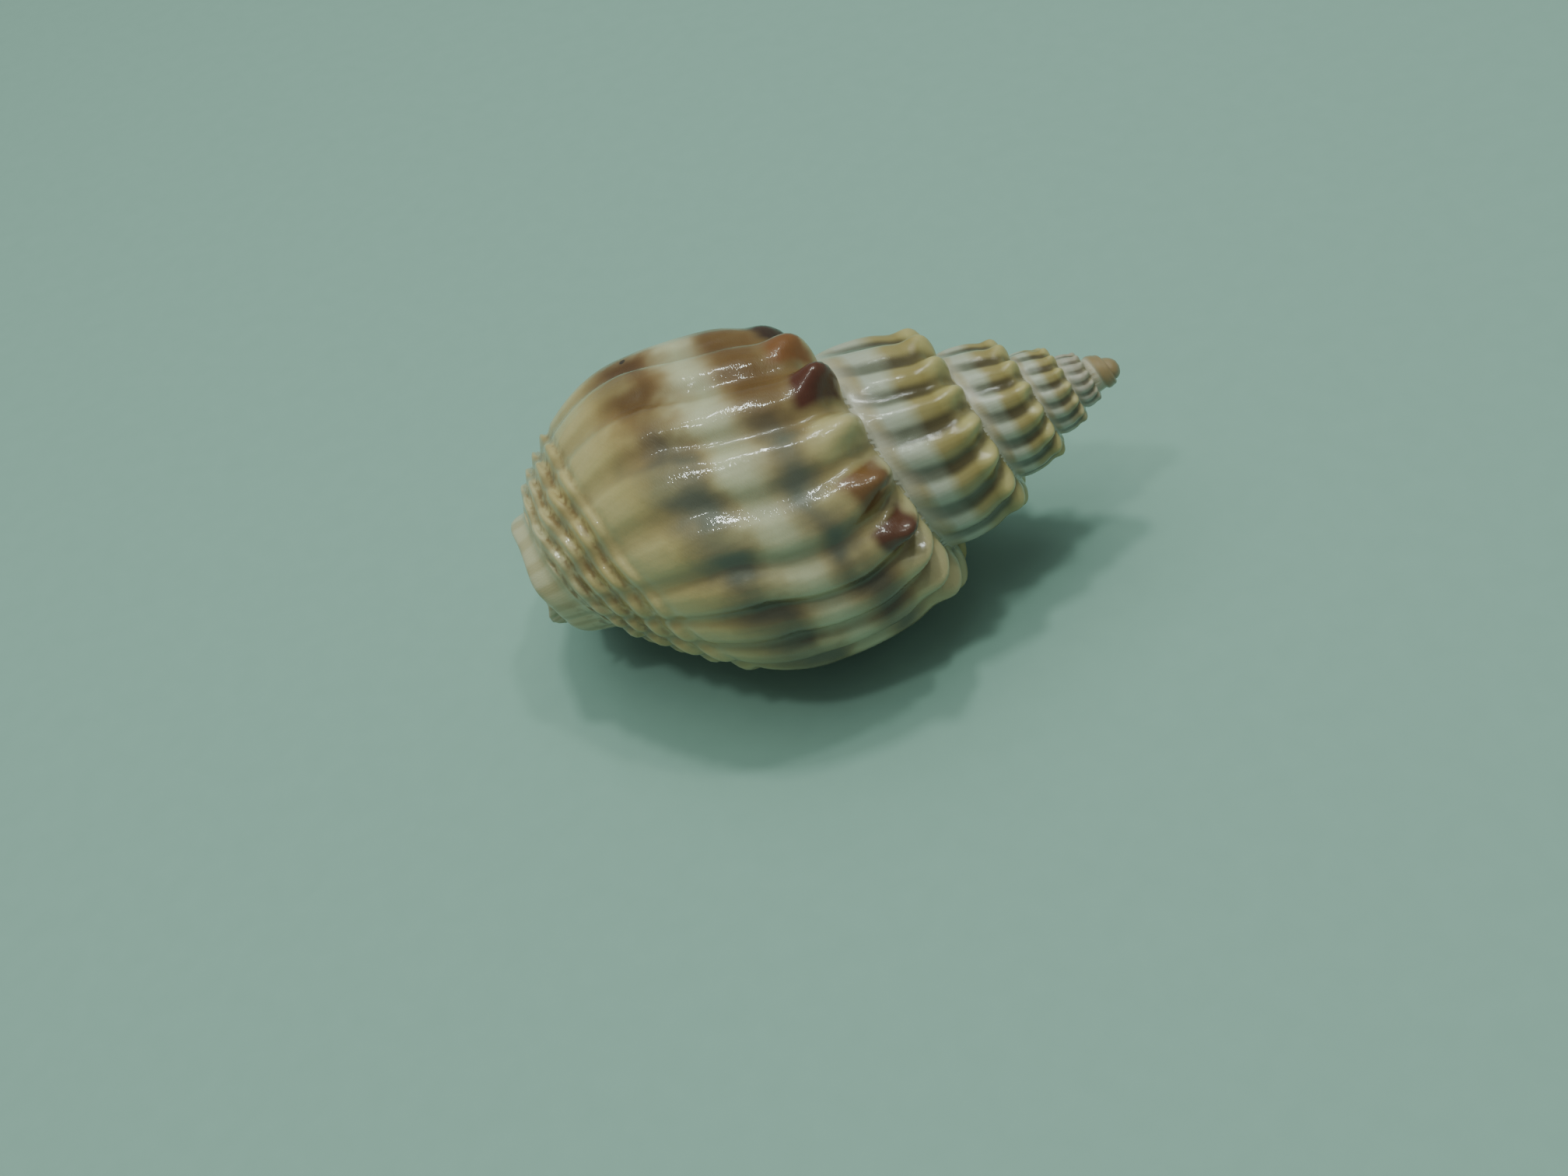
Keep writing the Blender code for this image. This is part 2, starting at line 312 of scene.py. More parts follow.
def smooth_section(g, t):
    """Point (r, h) of the whorl before its ribs, at place t."""
    if t <= 1.0:
        slip = step_up(-0.06, 0.08, g) * step_up(0.60, 0.10, t)
        radius = curve_through(WHORL_SECTION, t, 1) * widen(g, between(CLOSING_SHARE, t))
        height = curve_through(WHORL_SECTION, t, 2) * lengthen(g)
        return radius - LAST_SLIP[0] * slip, height + LAST_SLIP[1] * slip - TIP_RISE * step_up(-4.3, -5.5, g)
    along = math.sin(0.5 * math.pi * (t - 1.0))
    start = WIDEST_LINE * lengthen(g)
    fullness = max(BASE_FULLNESS_LEAST, BASE_FULLNESS - BASE_FULLNESS_LOSS * g)
    end = front_radius(g)
    radius = end + (WIDEST_RADIUS * widen(g) - end) * max(0.0, 1.0 - along ** 2) ** fullness
    return radius, start + (FRONT_END - start) * along


def knob_gain(g, t):
    """How much the knob of each rib stands out; those with a dark cap are the strongest."""
    gain = KNOB_GAIN.get(round(rib_place(g, t)), OTHER_KNOB_GAIN)
    return gain * step_up(SMOOTH_UNTIL, SMOOTH_UNTIL + 1.0, g)


def cord_wave(g, t):
    """1 on the crest of a spiral cord of the base and 0 in the furrow beside it."""
    c = t - CORD_SLANT * (g + 0.2) + CORD_WAVER * noise.noise(Vector((13.0 * g, 4.0 * t, 3.0)))
    return 0.5 + 0.5 * math.cos(2.0 * math.pi * (c - CORDS[0]) / CORD_SPACING)


def base_relief(relief, g, t):
    """Beaded cords round the base, and the two ridges of the fasciole with the furrows beside them."""
    c = t - CORD_SLANT * (g + 0.2)
    band = step_up(CORDS[0], CORDS[0] + 0.08, c) * step_up(CORDS[1], CORDS[1] - 0.04, c)
    cords = relief.cord * band * (cord_wave(g, t) - 0.5) * (1.1 - 0.6 * rib_wave(g, t))
    uneven = 1.0 + FASCIOLE_UNEVENNESS * noise.noise(Vector((8.0 * g, 3.0, 3.0 * t)))
    fasciole = uneven * sum(height * bump(c, middle, width) for middle, width, height in FASCIOLE_RIDGES)
    fasciole -= sum(height * bump(c, middle, width) for middle, width, height in FASCIOLE_FURROWS)
    edge = step_up(1.0, 1.12, t) * step_up(2.0, 1.92, t)
    return cords * edge, fasciole * edge


def front_notch(g):
    """How far the front edge is cut back, most of all on the shell's back."""
    return FRONT_CUT + (NOTCH_DEPTH - FRONT_CUT) * step_up(-0.60, -0.35, g) * step_up(0.24, 0.10, g)


def whorl_section(relief, g, t):
    """Point (r, h) with ribs, knobs, base cords and callus."""
    radius, height = smooth_section(g, t)
    groove = rib_groove(g, t)
    if t <= 1.0:
        depth = between(RIB_STRENGTH, t) * groove
        radius -= relief.rib * depth * widen(g)
        height += SHOULDER_LIFT * depth * step_up(0.45, 0.15, t) * lengthen(g)
        knob = relief.knob * knob_gain(g, t) * (1.0 - rib_wave(g, t)) ** 1.5 * widen(g)
        radius += knob * bump(t, 0.24, 0.10) - WAIST_DEPTH * bump(t, 0.44, 0.08) * widen(g)
        height -= KNOB_OVERHANG * knob * bump(t, 0.20, 0.09)
    else:
        along = math.sin(0.5 * math.pi * (t - 1.0))
        fade = max(0.0, 1.0 - along / BASE_RIBS_END)
        radius -= relief.rib * BASE_RIB_STRENGTH * groove * fade * widen(g)
        cords, fasciole = base_relief(relief, g, t)
        radius += cords + 0.5 * fasciole
        height += 0.8 * fasciole
    glaze = callus(g, t)
    if glaze > 0.0:
        smooth_radius, smooth_height = smooth_section(g, t)
        radius += (smooth_radius - CALLUS_SINK - radius) * glaze
        height += (smooth_height - height) * glaze
    return radius, height - front_notch(g) * step_up(1.55, 1.90, t)


def in_space(g, point):
    """Place (r, h) of turn g: apex at the origin, axis along X, first skyline up."""
    radius, height = point
    angle = 2.0 * math.pi * g
    return Vector((-height, radius * math.sin(angle), radius * math.cos(angle)))


def rest_pose():
    """Lay the shell's own axis on its resting side, with the apex where the solid's is, in metres."""
    lean = Matrix.Rotation(-math.radians(REST_LEAN), 4, "Y")
    roll = Matrix.Rotation(math.radians(REST_ROLL), 4, "X")
    return Matrix.Scale(MM, 4) @ Matrix.Translation(APEX) @ lean @ roll


def section_places():
    """Places of a section's points: down the lip from suture to front, then back up the pillar."""
    down = [k / WHORL_ROWS for k in range(WHORL_ROWS + 1)]
    down += [between(BASE_SPACING, k / BASE_ROWS) for k in range(1, BASE_ROWS + 1)]
    return down, down[:WHORL_ROWS:-1]


def lay_grid(bm, columns, rows, place, lining=0.0):
    """Start from a flat grid and move each of its points to place(u, v), both from 0 to 1."""
    made = bmesh.ops.create_grid(bm, x_segments=columns, y_segments=rows, size=0.5)
    turns, across, inside, glaze = [
        bm.verts.layers.float[name] for name in ("turns", "across", "lining", "glaze")]
    for vert in made["verts"]:
        u, v = vert.co.x + 0.5, vert.co.y + 0.5
        vert.co, vert[turns], vert[across], *own_glaze = place(u, v)
        vert[inside] = lining if u > 0.0001 else 0.0
        vert[glaze] = own_glaze[0] if own_glaze else callus(vert[turns], min(2.0, vert[across]))


def outside(bm, relief):
    """The whole outer surface: the tip, the spire's turns, then the last whorl with its base."""
    first = PILLAR_TURN - SPIRE_STEPS / STEPS_PER_TURN
    down = section_places()[0]

    def tip(u, v):
        g = first + u
        radius, height = whorl_section(relief, g, 0.0)
        dome = whorl_section(relief, first, 0.0)[1] - TIP_DOME
        point = radius * math.sqrt(max(0.0, 1.0 - v * v)), height + (dome - height) * v
        return in_space(g, point), g, 0.0

    def spire(u, v):
        g = first + u * (PILLAR_TURN - first)
        # The last row is the suture of the next turn
        point = whorl_section(relief, g, v) if v < 0.9999 else whorl_section(relief, g + 1.0, 0.0)
        return in_space(g, point), g, v

    def last_whorl(u, v):
        g = PILLAR_TURN + u
        t = down[round(v * (WHORL_ROWS + BASE_ROWS))]
        return in_space(g, whorl_section(relief, g, t)), g, t

    lay_grid(bm, STEPS_PER_TURN, TIP_RINGS, tip)
    lay_grid(bm, SPIRE_STEPS, WHORL_ROWS, spire)
    lay_grid(bm, STEPS_PER_TURN, WHORL_ROWS + BASE_ROWS, last_whorl)


def outline_radius(outline, height):
    """Radius of an outline of (r, h) points where it passes a height."""
    for (r0, h0), (r1, h1) in zip(outline, outline[1:]):
        if h0 <= height <= h1:
            return r0 + (r1 - r0) * (height - h0) / (h1 - h0)
    return outline[-1][0]


def hollow_ring(g, wall, down, back):
    """Points of the hollow's section at turn g, a wall inside the whorl and outside the turn before."""
    outer = [smooth_section(g, t) for t in down]
    inner = [smooth_section(g - 1.0, t) for t in back]
    inner_up = inner[::-1]
    first = outer[0][1]
    outer_up = [point for point in outer if point[1] >= first]

    def sides(height):
        low = max(outline_radius(inner_up, height - wall), outline_radius(inner_up, height + wall))
        high = min(outline_radius(outer_up, height - wall), outline_radius(outer_up, height + wall))
        return low, high - 2.0 * wall

    top = inner_up[0][1] + 1.3 * wall
    front = FRONT_END - FRONT_WALL
    while front > top + HOLLOW_LENGTH and sides(front)[1] - sides(front)[0] < HOLLOW_WIDTH:
        front -= 0.1
    # Each point keeps its share of the way along the axis, on the lip's side or the pillar's
    shares = []
    reached = 0.0
    for _, height in outer:
        reached = max(reached + 0.001, (height - first) / (FRONT_END - first))
        shares.append((reached / 1.002, 1.0))
    shares += [((height - first) / (FRONT_END - first), -1.0) for _, height in inner]
    points = []
    for share, side in shares:
        place = min(0.998, max(-0.998, 2.0 * share - 1.0))
        height = 0.5 * (top + front) + 0.5 * (front - top) * place
        low, high = sides(height)
        middle, half = 0.5 * (low + high) + 0.5 * wall, max(0.05, 0.5 * (high - low))
        points.append((middle + side * half * (1.0 - place ** 2) ** HOLLOW_ROUNDNESS, height))
    return points


def mouth_and_hollow(bm, relief):
    """Roll the lip over into the hollow and follow it back up the coil, from a grid closed into a tube."""
    down, back = section_places()
    rim = [in_space(LIP_TURN, whorl_section(relief, LIP_TURN, t)) for t in down]
    rim += [in_space(PILLAR_TURN, whorl_section(relief, PILLAR_TURN, t)) for t in back]
    rings = [(LIP_TURN, rim)]
    for depth in LIP_ROLL + tuple(HOLLOW_START + HOLLOW_STEP * k for k in range(1, HOLLOW_RINGS)):
        g = LIP_TURN - depth
        wall = WALL_AT_LIP if depth < LIP_THICK_END else WALL
        ring = [in_space(g, point) for point in hollow_ring(g, wall, down, back)]
        roll = step_up(0.0, LIP_ROLL_END, depth)
        if roll < 1.0:
            ring = [edge.lerp(inner, 0.25 + 0.75 * roll) for edge, inner in zip(rim, ring)]
        rings.append((g, ring))
    last, count = len(rings) - 1, len(rim)

    def place(u, v):
        g, ring = rings[round(u * last)]
        k = round(v * count) % count
        return ring[k], g, (down + back)[k], 1.0 if k >= len(down) else 0.0

    lay_grid(bm, last, count, place, lining=1.0)


def front_end(bm, relief):
    """Close the front end with rings that run in from its edge to the axis."""
    middle = Vector((FRONT_MIDDLE_DEPTH - FRONT_END, 0.0, 0.0))

    def place(u, v):
        g = PILLAR_TURN + u
        edge = in_space(g, whorl_section(relief, g, 2.0))
        return edge.lerp(middle, v), g, 2.0 + 0.9 * v

    lay_grid(bm, STEPS_PER_TURN, FRONT_RINGS, place)


def grow_shell(relief):
    """All of the shell's surface as one closed skin, in millimetres round its own axis."""
    bm = bmesh.new()
    for name in PLACE_NAMES:
        bm.verts.layers.float.new(name)
    outside(bm, relief)
    mouth_and_hollow(bm, relief)
    front_end(bm, relief)
    bmesh.ops.remove_doubles(bm, verts=bm.verts, dist=MERGE_DISTANCE)
    bmesh.ops.holes_fill(bm, edges=[edge for edge in bm.edges if edge.is_boundary], sides=0)
    bmesh.ops.recalc_face_normals(bm, faces=bm.faces)
    rib, groove, cord = [bm.verts.layers.float[name] for name in ("rib", "groove", "cord")]
    turns, across = [bm.verts.layers.float[name] for name in ("turns", "across")]
    for vert in bm.verts:
        g, t = vert[turns], min(2.0, vert[across])
        vert[rib] = round(rib_place(g, t))
        vert[groove] = rib_wave(g, t)
        vert[cord] = cord_wave(g, t)
    return bm


def linear(hex_colour):
    """An sRGB hex colour such as "#DAD3BC" as linear RGBA."""
    parts = [int(hex_colour[k:k + 2], 16) / 255.0 for k in (1, 3, 5)]
    return tuple(c / 12.92 if c <= 0.04045 else ((c + 0.055) / 1.055) ** 2.4 for c in parts) + (1.0,)


def add_node(tree, kind, inputs=None, stops=(), **settings):
    """Add a node with its settings, links and values, and a colour ramp's (position, hex colour) stops."""
    node = tree.nodes.new(kind)
    for name, value in settings.items():
        setattr(node, name, value)
    for name, value in (inputs or {}).items():
        if isinstance(value, bpy.types.NodeSocket):
            tree.links.new(value, node.inputs[name])
        else:
            node.inputs[name].default_value = value
    if stops:
        elements = node.color_ramp.elements
        for element, (position, colour) in zip((elements[0], elements[1]), (stops[0], stops[-1])):
            element.position = position
            element.color = linear(colour)
        for position, colour in stops[1:-1]:
            elements.new(position).color = linear(colour)
    return node


def soft_band(tree, place, start, full, fade, end):
    """Mask that rises from start to full and falls from fade to end."""
    up = add_node(tree, "ShaderNodeMapRange", {0: place, 1: start, 2: full, 3: 0.0, 4: 1.0},
                  interpolation_type="SMOOTHSTEP")
    down = add_node(tree, "ShaderNodeMapRange", {0: place, 1: fade, 2: end, 3: 1.0, 4: 0.0},
                    interpolation_type="SMOOTHSTEP")
    both = add_node(tree, "ShaderNodeMath", {0: up.outputs[0], 1: down.outputs[0]}, operation="MULTIPLY")
    return both.outputs[0]


def lay_over(tree, below, above, *masks):
    """Lay one tone over another where every mask is high."""
    mask = masks[0]
    for other in masks[1:]:
        mask = add_node(tree, "ShaderNodeMath", {0: mask, 1: other}, operation="MULTIPLY").outputs[0]
    return add_node(tree, "ShaderNodeMix", {0: mask, 6: below, 7: above}, data_type="RGBA").outputs[2]


def ground_tones(tree, half, groove, last_part):
    """Cream crests and brown grooves in soft spiral bands, on the spire and on the last whorl."""
    tones = [add_node(tree, "ShaderNodeValToRGB", {0: half}, stops=stops).outputs[0]
             for stops in (SPIRE_CREST, SPIRE_GROOVE_SHADED, LAST_CREST, LAST_GROOVE_SHADED)]
    # Painted shade: the deeper a point lies in a groove, the more of the darker groove tone it takes
    groove_shade = add_node(tree, "ShaderNodeMapRange", {0: groove, 1: 0.35, 2: 0.92},
                      interpolation_type="SMOOTHSTEP").outputs[0]
    spire = lay_over(tree, tones[0], tones[1], groove_shade, 0.92)
    last = lay_over(tree, tones[2], tones[3], groove_shade, 0.70)
    return lay_over(tree, spire, last, last_part), groove_shade


def stains(tree, colour, look, turns, place, groove, cloud, last_part):
    """Two rows of clouded stains: grey-blue over tan at first, orange-brown nearer the lip."""
    age = add_node(tree, "ShaderNodeMapRange", {0: turns, 1: -0.5, 2: 0.4, 3: 0.0, 4: 1.0}).outputs[0]
    edge_tone = add_node(tree, "ShaderNodeValToRGB", {0: age}, stops=STAIN_EDGE).outputs[0]
    core_tone = add_node(tree, "ShaderNodeValToRGB", {0: age}, stops=STAIN_CORE).outputs[0]
    cloudy = add_node(tree, "ShaderNodeMapRange", {0: cloud, 1: 0.26, 2: 0.56}).outputs[0]
    loose = add_node(tree, "ShaderNodeMapRange", {0: cloud, 1: 0.3, 2: 0.7, 3: -0.35, 4: 0.35}).outputs[0]
    cloudy_groove = add_node(tree, "ShaderNodeMath", {0: groove, 1: loose}, operation="ADD").outputs[0]
    between_ribs = add_node(tree, "ShaderNodeMapRange", {0: cloudy_groove, 1: -0.05, 2: 0.75},
                            interpolation_type="SMOOTHSTEP").outputs[0]
    spread = add_node(tree, "ShaderNodeMapRange", {0: between_ribs, 3: 0.66, 4: 1.0}).outputs[0]
    for start, full, fade, end in STAIN_ROWS:
        wide = soft_band(tree, place, start - 0.05, full, fade, end + 0.05)
        core = soft_band(tree, place, start + 0.02, full + 0.03, fade - 0.02, end - 0.04)
        colour = lay_over(tree, colour, edge_tone, wide, cloudy, last_part, 0.78 * look.stain_strength)
        colour = lay_over(tree, colour, core_tone, core, spread, last_part, look.stain_strength)
    return colour


def knob_caps(tree, colour, look, turns, rib, place, groove, last_part):
    """Each knob of the last whorl in its own tone, over an orange-brown flush next to the skyline."""
    flush = soft_band(tree, turns, -0.13, -0.07, 0.03, 0.09)
    shoulder = soft_band(tree, place, 0.16, 0.30, 0.56, 0.70)
    colour = lay_over(tree, colour, tuple(look.flush_colour) + (1.0,), flush, shoulder, last_part, 0.72)
    first, ribs = -RIBS_BEFORE_KNOBS - 0.5, RIBS_BEFORE_KNOBS + len(KNOB_TONES)
    number = add_node(tree, "ShaderNodeMapRange", {
        0: rib, 1: first, 2: first + ribs, 3: 0.0, 4: 1.0}).outputs[0]
    stops = [((RIBS_BEFORE_KNOBS + k) / ribs, tone) for k, tone in enumerate(KNOB_TONES)]
    tones = add_node(tree, "ShaderNodeValToRGB", {0: number}, stops=[(0.0, EARLY_KNOBS)] + stops)
    tones.color_ramp.interpolation = "CONSTANT"
    top = soft_band(tree, place, 0.09, 0.18, 0.36, 0.47)
    crown = add_node(tree, "ShaderNodeMapRange", {0: groove, 1: 0.95, 2: 0.60},
                     interpolation_type="SMOOTHSTEP").outputs[0]
    return lay_over(tree, colour, tones.outputs[0], top, crown, last_part, 0.95)


def first_turns(tree, colour, turns, groove_shade):
    """The oldest turns: lilac-white ribs after a tan tip."""
    young = add_node(tree, "ShaderNodeMapRange", {0: turns, 1: -3.1, 2: -3.7}).outputs[0]
    # The lilac-white lies mostly on the crests, so the grooves keep their painted shade
    crests = add_node(tree, "ShaderNodeMapRange", {0: groove_shade, 3: 1.0, 4: 0.3}).outputs[0]
    tip = add_node(tree, "ShaderNodeMapRange", {0: turns, 1: -4.45, 2: -4.65}).outputs[0]
    colour = lay_over(tree, colour, linear("#BDB6A8"), young, crests, 0.75)
    return lay_over(tree, colour, linear("#A48A58"), tip)


def mouth_tones(tree, colour, look, turns, half, inside, glaze):
    """Lining of the mouth, cream at the lip and brown-orange deeper in, and the milky glaze beside it."""
    lining = add_node(tree, "ShaderNodeValToRGB", {0: half}, stops=LINING).outputs[0]
    depth = add_node(tree, "ShaderNodeMapRange", {
        0: turns, 1: LIP_TURN - 0.02, 2: LIP_TURN - 0.09}).outputs[0]
    lining = lay_over(tree, linear("#D9CFA8"), lining, depth)
    colour = lay_over(tree, colour, lining, inside)
    return lay_over(tree, colour, tuple(look.glaze_colour) + (1.0,), glaze, 0.92)


def shell_lime(look):
    """Polished shell lime, grown in layers: a glassy skin over cream-white chalk, stained in the growing."""
    material = bpy.data.materials.new("shell_lime_grown")
    material.use_nodes = True
    tree = material.node_tree
    shader = tree.nodes["Principled BSDF"]
    turns, across, rib, groove, cord, glaze, inside = [
        add_node(tree, "ShaderNodeAttribute", attribute_name=name).outputs["Fac"] for name in PLACE_NAMES]
    where = add_node(tree, "ShaderNodeTexCoord").outputs["Object"]

    # Uneven edges of every stain: cloudy over about 2 mm, with a finer fray of 0.4 mm
    cloud = add_node(tree, "ShaderNodeTexNoise", {
        "Vector": where, "Scale": 1.0 / (CLOUD_SIZE * MM), "Detail": 2.5}).outputs[0]
    fray = add_node(tree, "ShaderNodeTexNoise", {
        "Vector": where, "Scale": 1.0 / (FRAY_SIZE * MM), "Detail": 2.0}).outputs[0]
    shift = add_node(tree, "ShaderNodeMapRange", {0: cloud, 1: 0.3, 2: 0.7, 3: -0.05, 4: 0.05}).outputs[0]
    place = add_node(tree, "ShaderNodeMath", {0: across, 1: shift}, operation="ADD").outputs[0]
    half = add_node(tree, "ShaderNodeMath", {0: place, 1: 2.0}, operation="DIVIDE").outputs[0]
    last_part = add_node(tree, "ShaderNodeMapRange", {0: turns, 1: -0.47, 2: -0.40}).outputs[0]

    colour, groove_shade = ground_tones(tree, half, groove, last_part)
    colour = stains(tree, colour, look, turns, place, groove, cloud, last_part)
    colour = knob_caps(tree, colour, look, turns, rib, place, groove, last_part)

    # Brown in the furrows between the cords of the base
    flecks = add_node(tree, "ShaderNodeMapRange", {0: fray, 1: 0.40, 2: 0.60}).outputs[0]
    furrow = add_node(tree, "ShaderNodeMapRange", {0: cord, 1: 0.75, 2: 0.10},
                      interpolation_type="SMOOTHSTEP").outputs[0]
    base = soft_band(tree, across, 1.22, 1.36, 1.50, 1.60)
    colour = lay_over(tree, colour, tuple(look.furrow_colour) + (1.0,), base, furrow, flecks, 0.75)

    colour = first_turns(tree, colour, turns, groove_shade)
    colour = mouth_tones(tree, colour, look, turns, half, inside, glaze)

    # Growth lines, drawn as coarse as 0.3 mm apart so that they show, and a few dark specks 0.3 mm across
    spiral = add_node(tree, "ShaderNodeCombineXYZ", {0: turns, 1: across}).outputs[0]
    lines = add_node(tree, "ShaderNodeTexWave", {
        "Vector": spiral, "Scale": 45.0, "Distortion": 6.0, "Detail": 2.0,
        "Detail Scale": 3.0}).outputs["Fac"]
    faint = add_node(tree, "ShaderNodeMapRange", {0: lines, 3: 0.0, 4: 0.04}).outputs[0]
    colour = lay_over(tree, colour, linear("#6E6146"), faint)
    cells = add_node(tree, "ShaderNodeTexVoronoi", {
        "Vector": where, "Scale": 1.0 / (SPECK_SPACING * MM), "Randomness": 1.0}).outputs["Distance"]
    speck = add_node(tree, "ShaderNodeMapRange", {0: cells, 1: 0.035, 2: 0.028}).outputs[0]
    colour = lay_over(tree, colour, linear("#2A2018"), speck, 0.85)

    # Ripples about 0.8 mm long, low enough that lamps show as thin, wavering streaks along the ribs
    ripple = add_node(tree, "ShaderNodeTexNoise", {
        "Vector": where, "Scale": 1.0 / (RIPPLE_SIZE * MM), "Detail": 1.0}).outputs[0]
    waves = add_node(tree, "ShaderNodeMath", {0: lines, 1: 0.06, 2: ripple},
                     operation="MULTIPLY_ADD").outputs[0]
    skin = add_node(tree, "ShaderNodeBump", {
        "Strength": 0.5, "Distance": 0.09 * MM, "Height": waves}).outputs[0]
    rough = add_node(tree, "ShaderNodeMapRange", {0: cloud, 1: 0.3, 2: 0.7, 3: 0.34, 4: 0.48}).outputs[0]
    toned = add_node(tree, "ShaderNodeHueSaturation", {
        "Color": colour, "Saturation": look.saturation, "Value": look.brightness}).outputs[0]
    for socket, source in (("Base Color", toned), ("Roughness", rough), ("Normal", skin),
                           ("Coat Normal", skin)):
        tree.links.new(source, shader.inputs[socket])
    # Aragonite, whose lowest index is 1.53, under a clear outer layer; thin edges glow a little
    for socket, value in (("IOR", 1.53), ("Specular IOR Level", 0.35), ("Coat Weight", look.gloss),
                          ("Coat Roughness", 0.02), ("Subsurface Weight", 0.10),
                          ("Subsurface Scale", 0.0006), ("Subsurface Radius", (1.0, 0.7, 0.45))):
        shader.inputs[socket].default_value = value
    return material


def stage_paper(colour):
    """Matt seamless paper, pressed smooth, so that it shows a soft shadow and only a faint tooth."""
    material = bpy.data.materials.new("seamless_paper_matt")
    material.use_nodes = True
    tree = material.node_tree
    shader = tree.nodes["Principled BSDF"]
    where = add_node(tree, "ShaderNodeTexCoord").outputs["Object"]
    tooth = add_node(tree, "ShaderNodeTexNoise", {
        "Vector": where, "Scale": 1.0 / (PAPER_TOOTH * MM), "Detail": 3.0}).outputs[0]
    shade = add_node(tree, "ShaderNodeMapRange", {0: tooth, 1: 0.3, 2: 0.7, 3: 0.97, 4: 1.0}).outputs[0]
    paper = lay_over(tree, (0.0, 0.0, 0.0, 1.0), tuple(colour) + (1.0,), shade)
    tree.links.new(paper, shader.inputs["Base Color"])
    shader.inputs["Roughness"].default_value = 0.75
    return material


class ShellForm(bpy.types.PropertyGroup):
    """Relief of the shell."""
    rib_depth: FloatProperty(name="Rib depth", description="Depth of the grooves between the ribs",
                             default=0.80 * MM, unit="LENGTH", subtype="DISTANCE", min=0.0)
    knob_height: FloatProperty(name="Knob height", description="Height of a knob on the shoulder of a rib",
                               default=0.34 * MM, unit="LENGTH", subtype="DISTANCE", min=0.0)
    cord_height: FloatProperty(name="Cord height", description="Height of the spiral cords of the base",
                               default=0.38 * MM, unit="LENGTH", subtype="DISTANCE", min=0.0)


class ShellLook(bpy.types.PropertyGroup):
    """Tone and gloss of the shell."""
    brightness: FloatProperty(name="Brightness", description="How light the shell lime is",
                              default=0.72, subtype="FACTOR", min=0.1, max=1.2)
    saturation: FloatProperty(name="Colour strength", description="How strongly the shell is coloured",
                              default=0.92, subtype="FACTOR", min=0.0, max=2.0)
    gloss: FloatProperty(name="Gloss", description="Strength of the glassy outer skin",
                         default=0.8, subtype="FACTOR", min=0.0, max=1.0)
    stain_strength: FloatProperty(name="Stains", description="Strength of the brown and blue-grey stains",
                                  default=0.96, subtype="FACTOR", min=0.0, max=1.0)
    flush_colour: FloatVectorProperty(name="Flush", description="Flush round the knobs next to the skyline",
                                      default=linear("#755010")[:3], subtype="COLOR", size=3,
                                      min=0.0, max=1.0)
    furrow_colour: FloatVectorProperty(name="Furrows", description="Stain between the cords of the base",
                                       default=linear("#85642E")[:3], subtype="COLOR", size=3,
                                      min=0.0, max=1.0)
    glaze_colour: FloatVectorProperty(name="Glaze", description="Milky glaze beside the mouth",
                                      default=linear("#DCD8BE")[:3], subtype="COLOR", size=3,
                                      min=0.0, max=1.0)


class StageLook(bpy.types.PropertyGroup):
    """Floor and light of the stage."""
    paper: FloatVectorProperty(name="Floor", description="Colour of the paper floor",
                               default=linear("#84A89B")[:3], subtype="COLOR", size=3, min=0.0, max=1.0)
    floor_size: FloatProperty(name="Floor size", description="Side of the square floor",
                              default=0.8, unit="LENGTH", subtype="DISTANCE", min=0.1)
    key_power: FloatProperty(name="Key lights", description="Power of the strongest small light",
                             default=0.16, unit="POWER", min=0.0)
    fill_power: FloatProperty(name="Fill light", description="Power of the broad fill light",
                              default=1.1, unit="POWER", min=0.0)


class SHELL_OT_grow(bpy.types.Operator):
    """Grow the shell and put it in place of its plain solid"""
    bl_idname = "shell.grow"
    bl_label = "Grow sea shell"

    def execute(self, context):
        form = context.scene.shell_form
        bm = grow_shell(Relief(form.rib_depth / MM, form.knob_height / MM, form.cord_height / MM))
        if any(not edge.is_manifold for edge in bm.edges):
            raise RuntimeError("The shell's skin has an open or doubled edge")
        bmesh.ops.transform(bm, matrix=rest_pose(), verts=bm.verts)
        mesh = bpy.data.meshes.new("sea_shell")
        bm.to_mesh(mesh)
        bm.free()
        mesh.shade_smooth()
        mesh.materials.append(shell_lime(context.scene.shell_look))
        piece = bpy.data.objects.new("sea_shell", mesh)
        context.scene.collection.objects.link(piece)
        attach(piece, "root")
        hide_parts("shell")
        return {"FINISHED"}


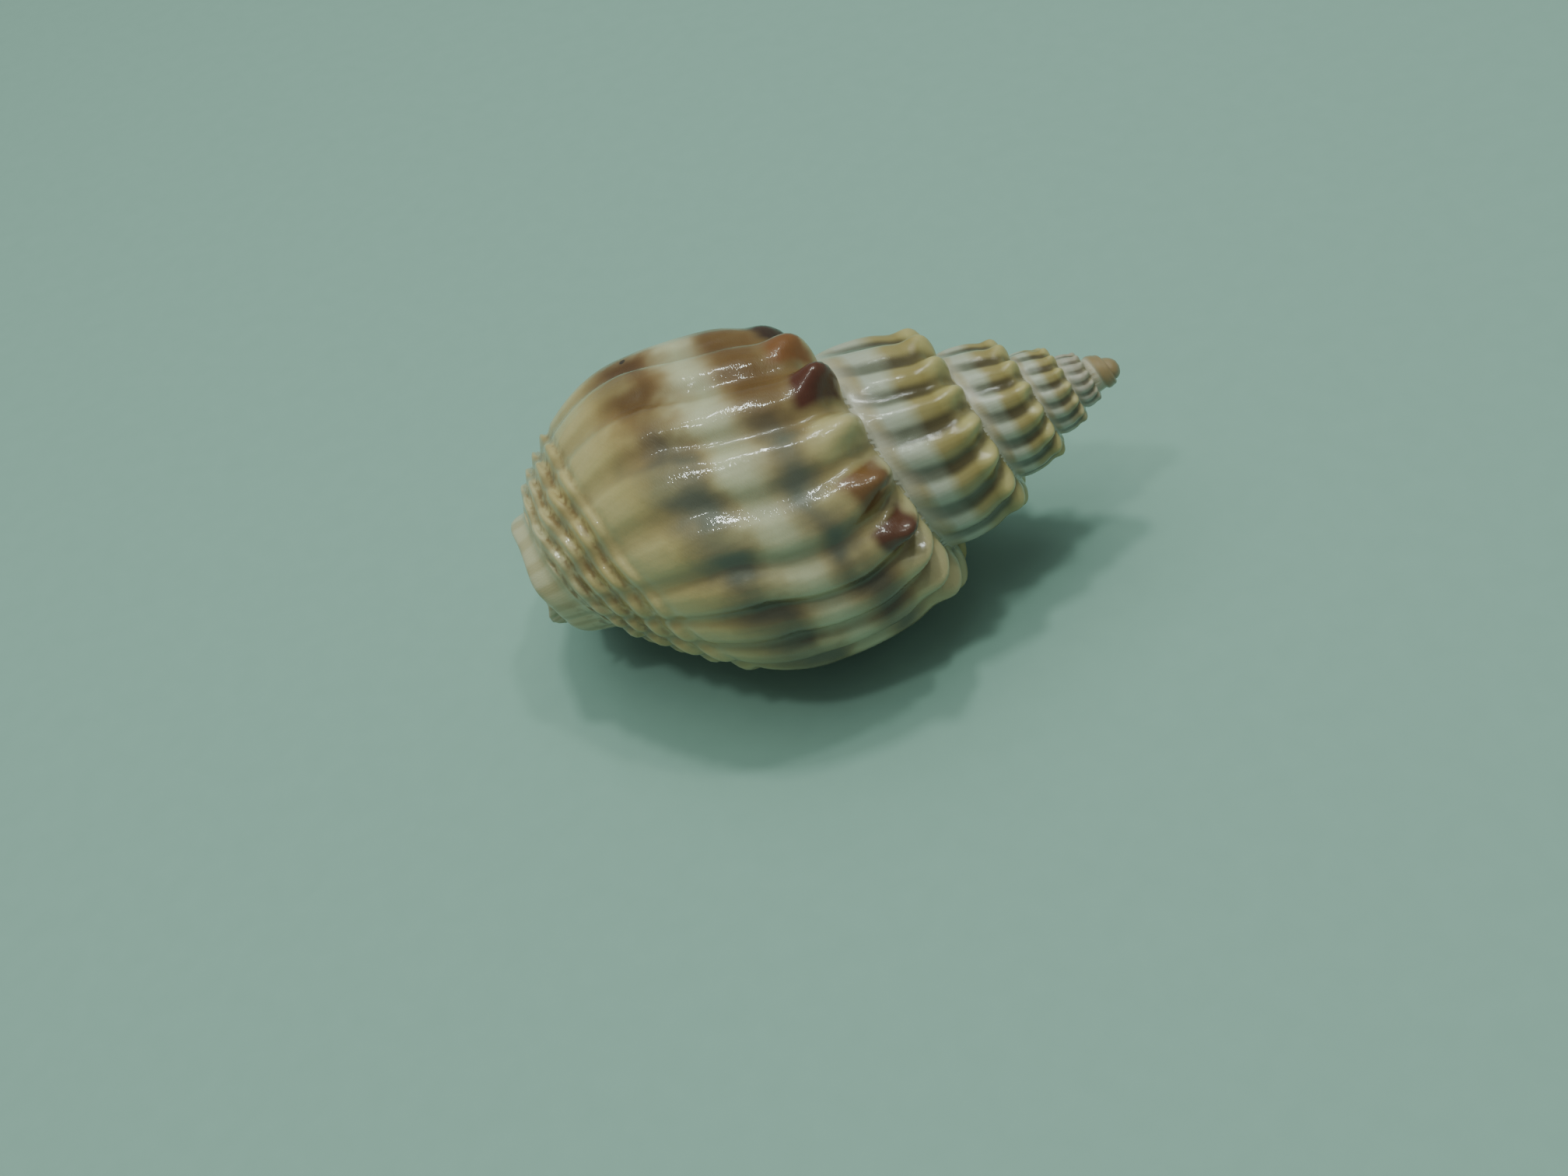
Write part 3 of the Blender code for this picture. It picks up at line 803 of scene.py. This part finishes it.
class SHELL_OT_stage(bpy.types.Operator):
    """Lay the pale floor and set the soft light and the camera"""
    bl_idname = "shell.stage"
    bl_label = "Set the stage"

    def execute(self, context):
        look = context.scene.shell_stage
        self.lay_floor(context, look)
        # Only the small lights show in the glaze, so that it keeps its depth between their streaks
        for lights, power, in_glaze in ((KEY_LIGHTS, look.key_power, True),
                                        (FILL_LIGHTS, look.fill_power, False)):
            for light in lights:
                self.hang_light(context, *light[:3], light[3] * power, in_glaze)
        world = bpy.data.worlds.new("studio_air")
        world.use_nodes = True
        world.node_tree.nodes["Background"].inputs["Color"].default_value = linear(AIR_COLOUR)
        world.node_tree.nodes["Background"].inputs["Strength"].default_value = AIR_STRENGTH
        context.scene.world = world
        self.set_camera(context)
        if context.scene.camera is None:
            raise RuntimeError("The stage has no camera")
        return {"FINISHED"}

    def lay_floor(self, context, look):
        bm = bmesh.new()
        bmesh.ops.create_grid(bm, x_segments=1, y_segments=1, size=0.5 * look.floor_size)
        mesh = bpy.data.meshes.new("floor")
        bm.to_mesh(mesh)
        bm.free()
        mesh.materials.append(stage_paper(look.paper))
        floor = bpy.data.objects.new("floor", mesh)
        context.scene.collection.objects.link(floor)

    def hang_light(self, context, name, place, size, power, in_glaze):
        light = bpy.data.lights.new(name, "AREA")
        light.size = size
        light.energy = power
        light.color = linear(LIGHT_COLOUR)[:3]
        lamp = bpy.data.objects.new(name, light)
        lamp.location = place
        lamp.rotation_euler = (-Vector(place)).to_track_quat("-Z", "Y").to_euler()
        lamp.visible_glossy = in_glaze
        context.scene.collection.objects.link(lamp)

    def set_camera(self, context):
        data = bpy.data.cameras.new("camera")
        data.sensor_width = SENSOR_WIDTH
        data.lens = CAMERA_FOCAL_PIXELS / PHOTO_WIDTH * SENSOR_WIDTH
        data.clip_start = 0.001
        camera = bpy.data.objects.new("camera", data)
        camera.location = CAMERA_PLACE
        camera.rotation_euler = [math.radians(a) for a in CAMERA_TURN]
        context.scene.collection.objects.link(camera)
        context.scene.camera = camera


class VIEW3D_PT_sea_shell(bpy.types.Panel):
    """Steps and settings of the sea shell"""
    bl_label = "Sea Shell"
    bl_space_type = "VIEW_3D"
    bl_region_type = "UI"
    bl_category = "Sea Shell"

    def draw(self, context):
        layout = self.layout
        layout.operator(SHELL_OT_grow.bl_idname)
        layout.operator(SHELL_OT_stage.bl_idname)
        scene = context.scene
        for settings in (scene.shell_form, scene.shell_look, scene.shell_stage):
            for name in type(settings).__annotations__:
                layout.prop(settings, name)


CLASSES = (ShellForm, ShellLook, StageLook, SHELL_OT_grow, SHELL_OT_stage, VIEW3D_PT_sea_shell)


def register():
    for made in CLASSES:
        bpy.utils.register_class(made)
    bpy.types.Scene.shell_form = PointerProperty(type=ShellForm)
    bpy.types.Scene.shell_look = PointerProperty(type=ShellLook)
    bpy.types.Scene.shell_stage = PointerProperty(type=StageLook)


def unregister():
    del bpy.types.Scene.shell_stage
    del bpy.types.Scene.shell_look
    del bpy.types.Scene.shell_form
    for made in reversed(CLASSES):
        bpy.utils.unregister_class(made)


def main():
    register()
    bpy.ops.shell.grow()
    bpy.ops.shell.stage()


if __name__ == "__main__":
    main()
